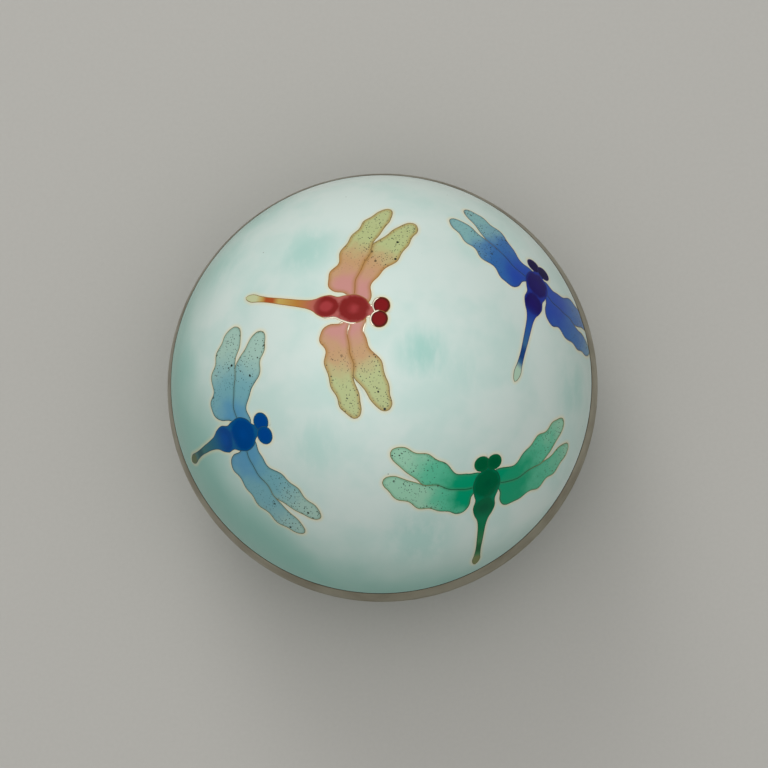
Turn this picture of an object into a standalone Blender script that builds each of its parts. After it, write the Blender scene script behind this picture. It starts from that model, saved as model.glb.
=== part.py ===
"""Round enamel box with a domed lid.

The lid is an enamelled shell on a silver rim. It rests on an enamelled bowl, whose own silver
rim has a collar that keeps the lid in place, and the bowl stands on a silver foot ring. Every
piece is turned about Z. The origin is at the middle of the foot ring's underside, in metres.
"""

import math

import bpy

# The seam where the lid lifts off is the widest circle of the box.
SEAM_RADIUS = 0.0425
WALL = 0.0018

# The lid's dome is a cap of a sphere that stands on the seam.
DOME_RISE = 0.0376
DOME_SPHERE = (SEAM_RADIUS**2 + DOME_RISE**2) / (2 * DOME_RISE)
DOME_STEPS = 12

# The bowl is a superellipse that hangs from the seam, and clears the ground in the middle.
BOWL_DEPTH = 0.0265
BOWL_CLEARANCE = 0.0016
BOWL_FULLNESS = 2.25
BOWL_STEPS = 11
SEAM_Z = BOWL_CLEARANCE + BOWL_DEPTH
DOME_CENTRE_Z = SEAM_Z + DOME_RISE - DOME_SPHERE

# The silver rims, above and below the seam. They are flush with the shells.
LID_RIM_HEIGHT = 0.0054
LID_RIM_STEPS = 4
BOWL_RIM_HEIGHT = 0.0030
BOWL_RIM_STEPS = 2
EDGE_EASE = 0.00025
LARGEST_EASE_SHARE = 0.45

# The collar on the bowl's rim, which the lid's rim slides over.
COLLAR_HEIGHT = 0.0040
COLLAR_WALL = 0.0009
COLLAR_CLEARANCE = 0.0003

# The foot ring, at its neck under the bowl, and how much wider it stands.
FOOT_RADIUS = 0.0225
FOOT_WIDTH = 0.0022
FOOT_FLARE = 0.0006
FOOT_STEPS = 3

# Between two pieces that are fitted to each other.
SEAT_GAP = 0.0003

TURN_STEPS = 64
SHARP_ANGLE = math.radians(38)
MERGE_DISTANCE = 0.00001

PALE_ENAMEL = (0.58, 0.72, 0.66)
ENAMEL_ROUGHNESS = 0.12
SATIN_SILVER = (0.52, 0.49, 0.43)
SILVER_ROUGHNESS = 0.38


def dome_radius(z, inset=0.0):
    """Radius of the dome at a level, or of the face that lies inset within it."""
    return math.sqrt((DOME_SPHERE - inset) ** 2 - (z - DOME_CENTRE_Z) ** 2)


def bowl_radius(z, inset=0.0):
    """Radius of the bowl at a level, or of the face that lies inset within it."""
    share = (SEAM_Z - z) / (BOWL_DEPTH - inset)
    return (SEAM_RADIUS - inset) * (1 - share**BOWL_FULLNESS) ** (1 / BOWL_FULLNESS)


def bowl_level(radius, inset=0.0):
    """Level of the bowl at a radius, or of the face that lies inset within it."""
    share = radius / (SEAM_RADIUS - inset)
    depth = (BOWL_DEPTH - inset) * (1 - share**BOWL_FULLNESS) ** (1 / BOWL_FULLNESS)
    return SEAM_Z - depth


def dome_curve(edge_z, inset):
    """Points (radius, level) of the dome from its top down to a level."""
    sphere = DOME_SPHERE - inset
    reach = math.acos((edge_z - DOME_CENTRE_Z) / sphere)
    angles = [reach * step / DOME_STEPS for step in range(DOME_STEPS + 1)]
    return [
        (sphere * math.sin(angle), DOME_CENTRE_Z + sphere * math.cos(angle))
        for angle in angles
    ]


def bowl_curve(edge_z, inset):
    """Points (radius, level) of the bowl from its middle up to a level."""
    half_width = SEAM_RADIUS - inset
    reach = math.asin(bowl_radius(edge_z, inset) / half_width)
    radii = [
        half_width * math.sin(reach * step / BOWL_STEPS)
        for step in range(BOWL_STEPS + 1)
    ]
    return [(radius, bowl_level(radius, inset)) for radius in radii]


def levels_between(first, last, steps):
    """Evenly spaced levels, both ends included."""
    return [first + (last - first) * step / steps for step in range(steps + 1)]


def moved_toward(point, other, distance):
    """The point moved that far toward another, or almost half way if they are close."""
    across = other[0] - point[0]
    up = other[1] - point[1]
    share = min(distance / math.hypot(across, up), LARGEST_EASE_SHARE)
    return (point[0] + across * share, point[1] + up * share)


def eased(points, corners):
    """The closed outline, with the corners of these numbers cut back on both sides."""
    outline = []
    for index, point in enumerate(points):
        if index in corners:
            after = points[(index + 1) % len(points)]
            outline.append(moved_toward(point, points[index - 1], EDGE_EASE))
            outline.append(moved_toward(point, after, EDGE_EASE))
        else:
            outline.append(point)
    return outline


def lid_bore():
    """Radius of the hole in the lid's rim, which clears the dome's inner face above it."""
    return dome_radius(SEAM_Z + COLLAR_HEIGHT + COLLAR_CLEARANCE, WALL)


def lid_outline():
    """The lid's outer face from the top down to its rim, then its inner face back up."""
    edge_z = SEAM_Z + LID_RIM_HEIGHT + SEAT_GAP
    return dome_curve(edge_z, 0.0) + dome_curve(edge_z, WALL)[::-1]


def lid_rim_outline():
    """The lid's rim, whose outer face carries the dome's curve on down to the seam."""
    top = SEAM_Z + LID_RIM_HEIGHT
    bottom = SEAM_Z + SEAT_GAP
    outer = [
        (dome_radius(level), level)
        for level in levels_between(top, bottom, LID_RIM_STEPS)
    ]
    inner = [(lid_bore(), bottom), (lid_bore(), top)]
    return eased(outer + inner, {0, LID_RIM_STEPS, LID_RIM_STEPS + 1})


def bowl_rim_outline():
    """The bowl's rim: the collar, the seat that the lid rests on, and the outer face."""
    collar_outer = lid_bore() - COLLAR_CLEARANCE
    collar_inner = collar_outer - COLLAR_WALL
    collar_top = SEAM_Z + COLLAR_HEIGHT
    bottom = SEAM_Z - BOWL_RIM_HEIGHT
    collar = [(collar_outer, collar_top), (collar_outer, SEAM_Z)]
    outer = [
        (bowl_radius(level), level)
        for level in levels_between(SEAM_Z, bottom, BOWL_RIM_STEPS)
    ]
    inner = [
        (bowl_radius(bottom, WALL), bottom),
        (collar_inner, SEAM_Z),
        (collar_inner, collar_top),
    ]
    points = collar + outer + inner
    first_outer = len(collar)
    return eased(
        points, {0, first_outer, first_outer + BOWL_RIM_STEPS, len(points) - 1}
    )


def bowl_outline():
    """The bowl's inner face from its middle up, then its outer face back down."""
    edge_z = SEAM_Z - BOWL_RIM_HEIGHT - SEAT_GAP
    return bowl_curve(edge_z, WALL) + bowl_curve(edge_z, 0.0)[::-1]


def foot_outline():
    """The foot ring: the bowl's curve on top, a flared outer side and a flat underside."""
    neck_inner = FOOT_RADIUS - FOOT_WIDTH
    radii = [
        neck_inner + FOOT_WIDTH * step / FOOT_STEPS for step in range(FOOT_STEPS + 1)
    ]
    top = [(radius, bowl_level(radius) - SEAT_GAP) for radius in radii]
    underside = [(FOOT_RADIUS + FOOT_FLARE, 0.0), (neck_inner, 0.0)]
    first_foot_corner = len(top)
    return eased(top + underside, {first_foot_corner, first_foot_corner + 1})


def finish(name, colour, roughness, metallic):
    """A material with one colour."""
    material = bpy.data.materials.new(name)
    material.use_nodes = True
    shader = material.node_tree.nodes["Principled BSDF"]
    shader.inputs["Base Color"].default_value = (*colour, 1)
    shader.inputs["Roughness"].default_value = roughness
    shader.inputs["Metallic"].default_value = metallic
    return material


def turned(name, outline, material, collection):
    """A piece turned about Z, from an outline that is closed or ends on the axis."""
    edges = [(index, index + 1) for index in range(len(outline) - 1)]
    if outline[0][0] > 0:
        edges.append((len(outline) - 1, 0))
    profile_mesh = bpy.data.meshes.new(name + "_profile")
    profile_mesh.from_pydata([(radius, 0, level) for radius, level in outline], edges, [])
    profile = bpy.data.objects.new(name + "_profile", profile_mesh)
    collection.objects.link(profile)
    turn = profile.modifiers.new("turn", "SCREW")
    turn.steps = TURN_STEPS
    turn.render_steps = TURN_STEPS
    turn.use_merge_vertices = True
    turn.merge_threshold = MERGE_DISTANCE
    turn.use_smooth_shade = True

    view = bpy.context.evaluated_depsgraph_get()
    mesh = bpy.data.meshes.new_from_object(profile.evaluated_get(view))
    mesh.name = name
    mesh.set_sharp_from_angle(angle=SHARP_ANGLE)
    mesh.materials.clear()
    mesh.materials.append(material)
    bpy.data.objects.remove(profile)
    bpy.data.meshes.remove(profile_mesh)
    collection.objects.link(bpy.data.objects.new(name, mesh))


def main():
    for thing in list(bpy.data.objects):
        bpy.data.objects.remove(thing)
    box = bpy.data.collections.new("round_enamel_box")
    bpy.context.scene.collection.children.link(box)
    enamel = finish("pale_enamel", PALE_ENAMEL, ENAMEL_ROUGHNESS, 0)
    silver = finish("satin_silver", SATIN_SILVER, SILVER_ROUGHNESS, 1)
    turned("lid", lid_outline(), enamel, box)
    turned("lid_rim", lid_rim_outline(), silver, box)
    turned("bowl_rim", bowl_rim_outline(), silver, box)
    turned("bowl", bowl_outline(), enamel, box)
    turned("foot_ring", foot_outline(), silver, box)


main()
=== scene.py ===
"""Looks of a round enamel box with a domed lid and four dragonflies in cloisonne.

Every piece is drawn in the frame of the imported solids, in metres, with the foot ring's underside
at the origin and +Z up the axis. Figures are drawn flat in millimetres and laid on the dome.
"""

import logging
import math
from collections.abc import Sequence
from dataclasses import dataclass, field
from enum import Enum

import bpy
import numpy as np
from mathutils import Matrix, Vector


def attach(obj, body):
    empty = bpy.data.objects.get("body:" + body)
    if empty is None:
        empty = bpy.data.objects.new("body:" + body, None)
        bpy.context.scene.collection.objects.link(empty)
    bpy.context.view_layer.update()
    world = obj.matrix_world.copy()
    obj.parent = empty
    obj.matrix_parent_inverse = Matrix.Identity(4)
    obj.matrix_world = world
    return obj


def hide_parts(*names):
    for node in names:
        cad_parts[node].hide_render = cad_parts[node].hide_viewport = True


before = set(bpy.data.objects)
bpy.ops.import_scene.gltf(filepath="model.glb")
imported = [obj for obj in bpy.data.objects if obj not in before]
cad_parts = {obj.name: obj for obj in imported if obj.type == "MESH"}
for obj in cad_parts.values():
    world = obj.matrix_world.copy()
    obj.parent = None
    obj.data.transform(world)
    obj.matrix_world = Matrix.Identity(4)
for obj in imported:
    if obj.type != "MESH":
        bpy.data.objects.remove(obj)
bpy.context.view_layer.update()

log = logging.getLogger("enamel_box")

MM = 0.001
TINY = 1e-12
BODY = "root"

# Types that many functions take.
Piece = bpy.types.Object
Material = bpy.types.Material
Array = np.ndarray
Line = tuple[tuple[float, float], ...]


# Small helpers for meshes

# How edges of turned pieces are rounded, and up to which angle they are shaded smooth.
EASE_STEPS = 3
EASED_ANGLE = math.radians(35)
SMOOTH_ANGLE = math.radians(40)
CURVE_STEPS = 24


def deselect_all() -> None:
    """Leaves nothing selected, so that an operator acts on one piece alone."""
    if bpy.context.object and bpy.context.object.mode != "OBJECT":
        bpy.ops.object.mode_set(mode="OBJECT")
    bpy.ops.object.select_all(action="DESELECT")


def pick(piece: Piece) -> None:
    """Makes one piece the only selected and active one.

    Args:
        piece: The piece to work on.
    """
    deselect_all()
    piece.select_set(True)
    bpy.context.view_layer.objects.active = piece


def new_piece(name: str) -> Piece:
    """Names the primitive that was just added, and its mesh.

    Args:
        name: The piece's name.

    Returns:
        The primitive's object.
    """
    piece = bpy.context.object
    piece.name = name
    piece.data.name = name
    return piece


def merge_points(piece: Piece, distance: float = 1e-7) -> None:
    """Merges points that coincide and turns the faces outwards.

    Args:
        piece: The piece to clean.
        distance: The largest distance between points that are merged, in metres.
    """
    pick(piece)
    bpy.ops.object.mode_set(mode="EDIT")
    bpy.ops.mesh.select_all(action="SELECT")
    bpy.ops.mesh.remove_doubles(threshold=distance)
    bpy.ops.mesh.normals_make_consistent(inside=False)
    bpy.ops.object.mode_set(mode="OBJECT")


def points_of(piece: Piece) -> Array:
    """Reads a mesh's points.

    Args:
        piece: The piece to read.

    Returns:
        An array with a row for each point, in metres.
    """
    points = np.empty(len(piece.data.vertices) * 3)
    piece.data.vertices.foreach_get("co", points)
    return points.reshape(-1, 3)


def place_points(piece: Piece, points: Array) -> None:
    """Puts a mesh's points at new places.

    Args:
        piece: The piece to change.
        points: A row for each point, in metres.
    """
    piece.data.vertices.foreach_set("co", np.asarray(points, dtype=np.float32).ravel())
    piece.data.update()


def write_values(piece: Piece, name: str, values: Array) -> None:
    """Stores a number at each point, which the materials read.

    Args:
        piece: The piece that carries the numbers.
        name: The attribute's name.
        values: One number for each point.
    """
    attribute = piece.data.attributes.get(name)
    if attribute is None:
        attribute = piece.data.attributes.new(name, "FLOAT", "POINT")
    attribute.data.foreach_set("value", np.asarray(values, dtype=np.float32).ravel())


def join_pieces(pieces: Sequence[Piece], name: str) -> Piece:
    """Joins pieces into one.

    Args:
        pieces: The pieces to join.
        name: The name of the joined piece.

    Returns:
        The joined piece.
    """
    pick(pieces[0])
    for piece in pieces:
        piece.select_set(True)
    bpy.ops.object.join()
    return new_piece(name)


def edge_chain(name: str, points: Array, closed: bool) -> Piece:
    """Makes a piece of edges alone, which join its points in order.

    Args:
        name: The piece's name.
        points: A row for each point, in metres.
        closed: Whether an edge joins the last point to the first.

    Returns:
        The piece.
    """
    deselect_all()
    bpy.ops.mesh.primitive_circle_add(vertices=len(points), radius=MM)
    piece = new_piece(name)
    place_points(piece, points)
    if not closed:
        ends = {0, len(points) - 1}
        for edge in piece.data.edges:
            edge.select = set(edge.vertices) == ends
        for vertex in piece.data.vertices:
            vertex.select = vertex.index in ends
        bpy.ops.object.mode_set(mode="EDIT")
        bpy.ops.mesh.select_mode(type="EDGE")
        bpy.ops.mesh.delete(type="EDGE")
        bpy.ops.object.mode_set(mode="OBJECT")
    return piece


def turned_piece(
    name: str, outline: Sequence[tuple[float, float]], steps: int, ease: float
) -> Piece:
    """Turns an outline about Z, and rounds its sharp edges.

    Args:
        name: The piece's name.
        outline: Points (radius, level) round the section. If the first and last lie on the
            axis, the section is left open along it.
        steps: How many steps the full turn takes.
        ease: Radius of the rounded edges, in metres, or 0.

    Returns:
        The turned piece.
    """
    closed = outline[0][0] > 0 or outline[-1][0] > 0
    points = np.array([(radius, 0.0, level) for radius, level in outline])
    piece = edge_chain(name, points, closed)
    bpy.ops.object.mode_set(mode="EDIT")
    bpy.ops.mesh.select_all(action="SELECT")
    bpy.ops.mesh.spin(steps=steps, angle=2 * math.pi, center=(0, 0, 0), axis=(0, 0, 1))
    bpy.ops.object.mode_set(mode="OBJECT")
    merge_points(piece)
    if ease:
        bevel = piece.modifiers.new("rounded_edges", "BEVEL")
        bevel.width = ease
        bevel.segments = EASE_STEPS
        bevel.limit_method = "ANGLE"
        bevel.angle_limit = EASED_ANGLE
        bpy.ops.object.modifier_apply(modifier=bevel.name)
    bpy.ops.object.shade_smooth_by_angle(angle=SMOOTH_ANGLE)
    return piece


def smooth_line(controls: Sequence[tuple[float, float]], count: int) -> Array:
    """Draws a smooth line through a few points, evenly spaced along its length.

    Args:
        controls: The points to pass through.
        count: How many points the line gets.

    Returns:
        An array of points (x, y).
    """
    knots = np.array(controls, dtype=float)
    padded = np.vstack([2 * knots[0] - knots[1], knots, 2 * knots[-1] - knots[-2]])
    parts = []
    steps = np.linspace(0, 1, CURVE_STEPS, endpoint=False)[:, None]
    for before, start, end, after in zip(padded, padded[1:], padded[2:], padded[3:]):
        parts.append(
            0.5
            * (
                2 * start
                + (end - before) * steps
                + (2 * before - 5 * start + 4 * end - after) * steps**2
                + (3 * start - before - 3 * end + after) * steps**3
            )
        )
    dense = np.vstack([*parts, knots[-1:]])
    return even_spacing(dense, count)


def even_spacing(line: Array, count: int) -> Array:
    """Resamples a line to evenly spaced points.

    Args:
        line: Points (x, y) along the line.
        count: How many points come back.

    Returns:
        The resampled points.
    """
    lengths = np.hypot(*np.diff(line, axis=0).T)
    along = np.concatenate([[0], np.cumsum(lengths)])
    wanted = np.linspace(0, along[-1], count)
    return np.column_stack([np.interp(wanted, along, line[:, axis]) for axis in (0, 1)])


def nearest_distance(points: Array, line: Array) -> Array:
    """Distance from points to the nearest point of a densely drawn line.

    Args:
        points: Points (x, y).
        line: Points (x, y) of the line.

    Returns:
        One distance for each point.
    """
    gaps = points[:, None, :] - line[None, :, :]
    return np.sqrt((gaps**2).sum(axis=2).min(axis=1))


def inside_outline(points: Array, outline: Array) -> Array:
    """Tells which points lie inside a closed outline.

    Args:
        points: Points (x, y).
        outline: Points (x, y) round the outline.

    Returns:
        True for each point that lies inside.
    """
    start = outline
    end = np.roll(outline, -1, axis=0)
    x, y = points[:, :1], points[:, 1:]
    spans = (start[:, 1] > y) != (end[:, 1] > y)
    rise = np.where(end[:, 1] == start[:, 1], TINY, end[:, 1] - start[:, 1])
    crossing = start[:, 0] + (y - start[:, 1]) * (end[:, 0] - start[:, 0]) / rise
    return (spans & (x < crossing)).sum(axis=1) % 2 == 1


# Small helpers for materials

# Settings that many nodes share.
SMOOTH = {"interpolation_type": "SMOOTHSTEP"}
RGBA = {"data_type": "RGBA"}
ENAMEL_IOR = 1.52


def linear_colour(hex_colour: str) -> tuple[float, float, float, float]:
    """Turns an sRGB hex colour to linear light.

    Args:
        hex_colour: Six hex digits after a hash sign.

    Returns:
        Red, green, blue and alpha.
    """
    values = [int(hex_colour[start : start + 2], 16) / 255 for start in (1, 3, 5)]
    channels = [v / 12.92 if v <= 0.04045 else ((v + 0.055) / 1.055) ** 2.4 for v in values]
    return (*channels, 1.0)


def feed(node: bpy.types.Node, inputs: dict | Sequence) -> None:
    """Sets or links a node's inputs.

    Args:
        node: The node.
        inputs: For each input, by name or in order, a value, a hex colour or the socket that
            feeds it.
    """
    for name, value in inputs.items() if isinstance(inputs, dict) else enumerate(inputs):
        if isinstance(value, bpy.types.NodeSocket):
            node.id_data.links.new(value, node.inputs[name])
        else:
            given = linear_colour(value) if isinstance(value, str) else value
            node.inputs[name].default_value = given


def add_node(
    tree: bpy.types.NodeTree,
    kind: str,
    inputs: dict | Sequence = (),
    output: str | int = 0,
    stops: Sequence[tuple[float, str]] = (),
    **settings: object,
) -> bpy.types.NodeSocket:
    """Adds a node with its settings and links.

    Args:
        tree: The node tree.
        kind: The node's type, after the words that every type starts with.
        inputs: What feeds its inputs, as for feed.
        output: The wanted output, by name or number.
        stops: Places and colours along its colour ramp, if it has one.
        settings: Values for the node's own properties.

    Returns:
        The wanted output.
    """
    node = tree.nodes.new("ShaderNode" + kind)
    for name, value in settings.items():
        setattr(node, name, value)
    if stops:
        elements = node.color_ramp.elements
        for element, (place, colour) in zip(elements, (stops[0], stops[-1])):
            element.position, element.color = place, linear_colour(colour)
        for place, colour in stops[1:-1]:
            elements.new(place).color = linear_colour(colour)
    feed(node, inputs)
    return node.outputs[output]


def sized(where: bpy.types.NodeSocket, size: float, **more: float) -> dict:
    """The inputs of a pattern whose features measure this many millimetres."""
    return {"Vector": where, "Scale": 1 / (size * MM), **more}


def new_material(name: str) -> tuple[Material, bpy.types.NodeTree, bpy.types.NodeSocket]:
    """Starts a material.

    Args:
        name: The material's name.

    Returns:
        The material, its node tree and the place on the piece.
    """
    material = bpy.data.materials.new(name)
    material.use_nodes = True
    tree = material.node_tree
    return material, tree, add_node(tree, "TexCoord", output="Object")


def shaded(material: Material, inputs: dict) -> Material:
    """Feeds a material's shader.

    Args:
        material: The material.
        inputs: For each of the shader's inputs, a value or the socket that feeds it.

    Returns:
        The material.
    """
    feed(material.node_tree.nodes["Principled BSDF"], inputs)
    return material


def dress(piece: Piece, *materials: Material) -> None:
    """Gives a piece its materials in place of what it has.

    Args:
        piece: The piece.
        materials: One material for each index that its faces use.
    """
    piece.data.materials.clear()
    for material in materials:
        piece.data.materials.append(material)


# The shape of the box, from the same named sizes as its solids


@dataclass(frozen=True)
class BoxShape:
    """The two curves that the box is turned from, in metres."""

    seam_radius: float = 0.0425
    wall: float = 0.0018
    dome_rise: float = 0.0376
    bowl_depth: float = 0.0265
    bowl_clearance: float = 0.0016
    bowl_fullness: float = 2.25
    seat_gap: float = 0.0003
    lid_rim_height: float = 0.0054
    bowl_rim_height: float = 0.0030
    collar_height: float = 0.0040
    collar_wall: float = 0.0009
    collar_clearance: float = 0.0003
    wire_room: float = 0.00007
    rim_room: float = 0.00001

    @property
    def seam(self) -> float:
        """Level of the seam where the lid lifts off."""
        return self.bowl_clearance + self.bowl_depth

    @property
    def sphere(self) -> float:
        """Radius of the sphere that the dome is a cap of."""
        return (self.seam_radius**2 + self.dome_rise**2) / (2 * self.dome_rise)

    @property
    def centre(self) -> float:
        """Level of that sphere's centre."""
        return self.seam + self.dome_rise - self.sphere

    @property
    def face(self) -> float:
        """Radius of the enamel's face, which leaves room for the wires under the sphere."""
        return self.sphere - self.wire_room

    @property
    def enamel_edge(self) -> float:
        """Level where the lid's enamel ends above its rim."""
        return self.seam + self.lid_rim_height + self.seat_gap

    @property
    def bore(self) -> float:
        """Radius of the hole in the lid's rim."""
        top = self.seam + self.collar_height + self.collar_clearance
        return self.dome_radius(top, self.wall)

    def dome_radius(self, level: float, inset: float = 0.0) -> float:
        """Radius of the dome at a level, or of the face inset within it."""
        return math.sqrt((self.sphere - inset) ** 2 - (level - self.centre) ** 2)

    def bowl_level(self, radius: float, inset: float = 0.0) -> float:
        """Level of the bowl at a radius.

        Args:
            radius: The radius, in metres.
            inset: How far inside the outer face, in metres.

        Returns:
            The level, in metres.
        """
        share = radius / (self.seam_radius - inset)
        fall = (1 - share**self.bowl_fullness) ** (1 / self.bowl_fullness)
        return self.seam - (self.bowl_depth - inset) * fall

    def bowl_radius(self, level: float, inset: float = 0.0) -> float:
        """Radius of the bowl at a level.

        Args:
            level: The level, in metres.
            inset: How far inside the outer face, in metres.

        Returns:
            The radius, in metres.
        """
        share = (self.seam - level) / (self.bowl_depth - inset)
        width = (1 - share**self.bowl_fullness) ** (1 / self.bowl_fullness)
        return (self.seam_radius - inset) * width


SHAPE = BoxShape()


def direction_at(polar: float, azimuth: float) -> Array:
    """The direction that leans away from +Z.

    Args:
        polar: How far it leans, in degrees.
        azimuth: Where it leans to, in degrees from +X towards +Y.

    Returns:
        A unit vector.
    """
    lean, turn = math.radians(polar), math.radians(azimuth)
    across = math.sin(lean)
    return np.array([across * math.cos(turn), across * math.sin(turn), math.cos(lean)])


@dataclass(frozen=True)
class DomeSpot:
    """A place on the dome where a flat drawing in millimetres is laid.

    The drawing's own x runs along the heading, and its y to the left of it.
    """

    polar: float
    azimuth: float
    heading: float
    lowest_margin: float = 0.00012

    def axes(self) -> tuple[Array, Array, Array]:
        """The directions that the drawing is laid by.

        Returns:
            The outward direction, the heading and the left, as unit vectors.
        """
        out = direction_at(self.polar, self.azimuth)
        north = np.array([0.0, 1.0, 0.0]) - out * out[1]
        north /= np.linalg.norm(north)
        east = np.cross(north, out)
        turn = math.radians(self.heading)
        ahead = east * math.cos(turn) + north * math.sin(turn)
        return out, ahead, np.cross(out, ahead)

    def lay(self, drawing: Array, height: float | Array) -> Array:
        """Lays flat points on the dome along its great circles.

        Args:
            drawing: Points (x, y) in millimetres.
            height: How far over the dome's face they lie, in millimetres.

        Returns:
            Points (x, y, z) in metres, none of them below the enamel's edge.
        """
        out, ahead, left = self.axes()
        flat = np.asarray(drawing, dtype=float) * MM
        far = np.maximum(np.hypot(flat[:, 0], flat[:, 1]), TINY)
        angle = far / SHAPE.face
        along = (flat[:, :1] * ahead + flat[:, 1:] * left) / far[:, None]
        direction = np.cos(angle)[:, None] * out + np.sin(angle)[:, None] * along
        lowest = (SHAPE.enamel_edge + self.lowest_margin - SHAPE.centre) / SHAPE.face
        up = np.maximum(direction[:, 2], lowest)
        across = np.sqrt(1 - up**2) / np.maximum(np.hypot(*direction[:, :2].T), TINY)
        direction = np.column_stack([direction[:, :2] * across[:, None], up])
        reach = SHAPE.face + np.asarray(height) * MM
        points = direction * np.reshape(reach, (-1, 1))
        return points + [0, 0, SHAPE.centre]


# Finishes. Sizes of patterns are in millimetres.


@dataclass(frozen=True)
class CloudPatch:
    """A soft patch of deeper celadon in the ground, at a place on the dome."""

    polar: float
    azimuth: float
    reach: float
    strength: float

    def place(self) -> tuple[float, ...]:
        """The patch's middle on the dome's face, in metres."""
        middle = np.array([0, 0, SHAPE.centre])
        return tuple(middle + direction_at(self.polar, self.azimuth) * SHAPE.sphere)


@dataclass(frozen=True)
class MilkyGroundEnamel:
    """Opaque white enamel over copper, fired with celadon clouds and polished.

    It gives the eye a smooth, wet, milky face with soft aqua drifts, a few pinholes, a warm bloom
    beside the wires, and a deeper margin low on one side that is partly aqua and partly
    painted shade.
    """

    name: str = "milky_celadon_enamel"
    milk: str = "#D8E8E1"
    celadon: str = "#A6D6CB"
    # The margin's colour: partly aqua enamel, partly painted shade low on the dome.
    margin_and_painted_shade: str = "#86BDAF"
    bloom: str = "#EBDAA9"
    pinhole: str = "#5E6B62"
    patches: tuple[CloudPatch, ...] = ()
    margin_lean: tuple[float, float, float] = (-0.33, -0.27, -0.95)
    margin_start: float = -42.0
    margin_full: float = -21.0
    margin_and_shade_depth: float = 0.95
    margin_drift: float = 14.0
    drift_size: float = 11.0
    drift_edges: tuple[float, float] = (0.36, 0.72)
    drift_depth: float = 0.36
    streak_size: float = 5.0
    streak_stretch: tuple[float, float, float] = (1.6, 0.55, 1.0)
    streak_edges: tuple[float, float] = (0.32, 0.62)
    streak_least: float = 0.45
    wander_size: float = 16.0
    pinhole_spacing: float = 5.5
    pinhole_edges: tuple[float, float] = (0.012, 0.028)
    pinhole_depth: float = 0.8
    ripple_size: float = 6.0
    ripple_depth: float = 0.05
    ripple_strength: float = 0.12
    roughness: float = 0.09
    gloss: float = 0.4

    def clouds(
        self, tree: bpy.types.NodeTree, where: bpy.types.NodeSocket
    ) -> bpy.types.NodeSocket:
        """Adds the celadon clouds: soft patches broken by streaks, and a broad faint drift.

        Args:
            tree: The material's node tree.
            where: The place on the piece.

        Returns:
            How deep the celadon is, from 0 to 1.
        """
        patches = None
        for patch in self.patches:
            gap = add_node(
                tree, "VectorMath", [where, patch.place()], "Value", operation="DISTANCE"
            )
            fade = add_node(
                tree,
                "MapRange",
                [gap, 0.0, patch.reach * MM, patch.strength, 0.0],
                interpolation_type="SMOOTHERSTEP",
            )
            if patches is not None:
                fade = add_node(tree, "Math", [patches, fade], operation="MAXIMUM")
            patches = fade
        long = add_node(tree, "Mapping", {"Vector": where, "Scale": self.streak_stretch})
        streaks = sized(long, self.streak_size, Detail=4.0, Roughness=0.6)
        streaks = add_node(tree, "TexNoise", streaks)
        streaks = [streaks, *self.streak_edges, self.streak_least]
        streaks = add_node(tree, "MapRange", streaks, **SMOOTH)
        patchy = add_node(tree, "Math", [patches, streaks], operation="MULTIPLY")
        drift = sized(where, self.drift_size, Detail=3.0, Roughness=0.55)
        drift = add_node(tree, "TexNoise", drift)
        drift = [drift, *self.drift_edges, 0.0, self.drift_depth]
        drift = add_node(tree, "MapRange", drift, **SMOOTH)
        return add_node(tree, "Math", [drift, patchy], operation="MAXIMUM", use_clamp=True)

    def low_margin_and_painted_shade(
        self, tree: bpy.types.NodeTree, where: bpy.types.NodeSocket
    ) -> bpy.types.NodeSocket:
        """Adds the margin low on one side, with a wandering edge: partly aqua, partly painted
        shade.

        Args:
            tree: The material's node tree.
            where: The place on the piece.

        Returns:
            How deep the margin and its painted shade are, from 0 to their full depth.
        """
        lean = add_node(
            tree, "VectorMath", [where, self.margin_lean], "Value", operation="DOT_PRODUCT"
        )
        wander = add_node(tree, "TexNoise", sized(where, self.wander_size, Detail=2.0))
        level = add_node(
            tree, "Math", [wander, self.margin_drift * MM, lean], operation="MULTIPLY_ADD"
        )
        half = self.margin_drift / 2
        ends = [(self.margin_start + half) * MM, (self.margin_full + half) * MM]
        return add_node(tree, "MapRange", [level, *ends, 0.0, self.margin_and_shade_depth], **SMOOTH)

    def make(self) -> Material:
        """Builds the node material.

        Returns:
            The material.
        """
        material, tree, where = new_material(self.name)
        specks = add_node(tree, "TexVoronoi", sized(where, self.pinhole_spacing))
        specks = [specks, *self.pinhole_edges, self.pinhole_depth, 0.0]
        colour = self.milk
        for share, over in (
            (self.clouds(tree, where), self.celadon),
            # The margin darkens the ground towards the lower edge and one side: partly aqua,
            # partly painted shade.
            (self.low_margin_and_painted_shade(tree, where), self.margin_and_painted_shade),
            (add_node(tree, "Attribute", (), "Fac", attribute_name="bloom"), self.bloom),
            (add_node(tree, "MapRange", specks, **SMOOTH), self.pinhole),
        ):
            colour = add_node(
                tree, "Mix", {"Factor": share, "A": colour, "B": over}, "Result", **RGBA
            )
        ripple = add_node(tree, "TexNoise", sized(where, self.ripple_size, Detail=1.0))
        depth = {"Strength": self.ripple_strength, "Distance": self.ripple_depth * MM}
        return shaded(
            material,
            {
                "Base Color": colour,
                "Normal": add_node(tree, "Bump", {"Height": ripple, **depth}),
                "Roughness": self.roughness,
                "IOR": ENAMEL_IOR,
                "Specular IOR Level": self.gloss,
            },
        )


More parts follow.
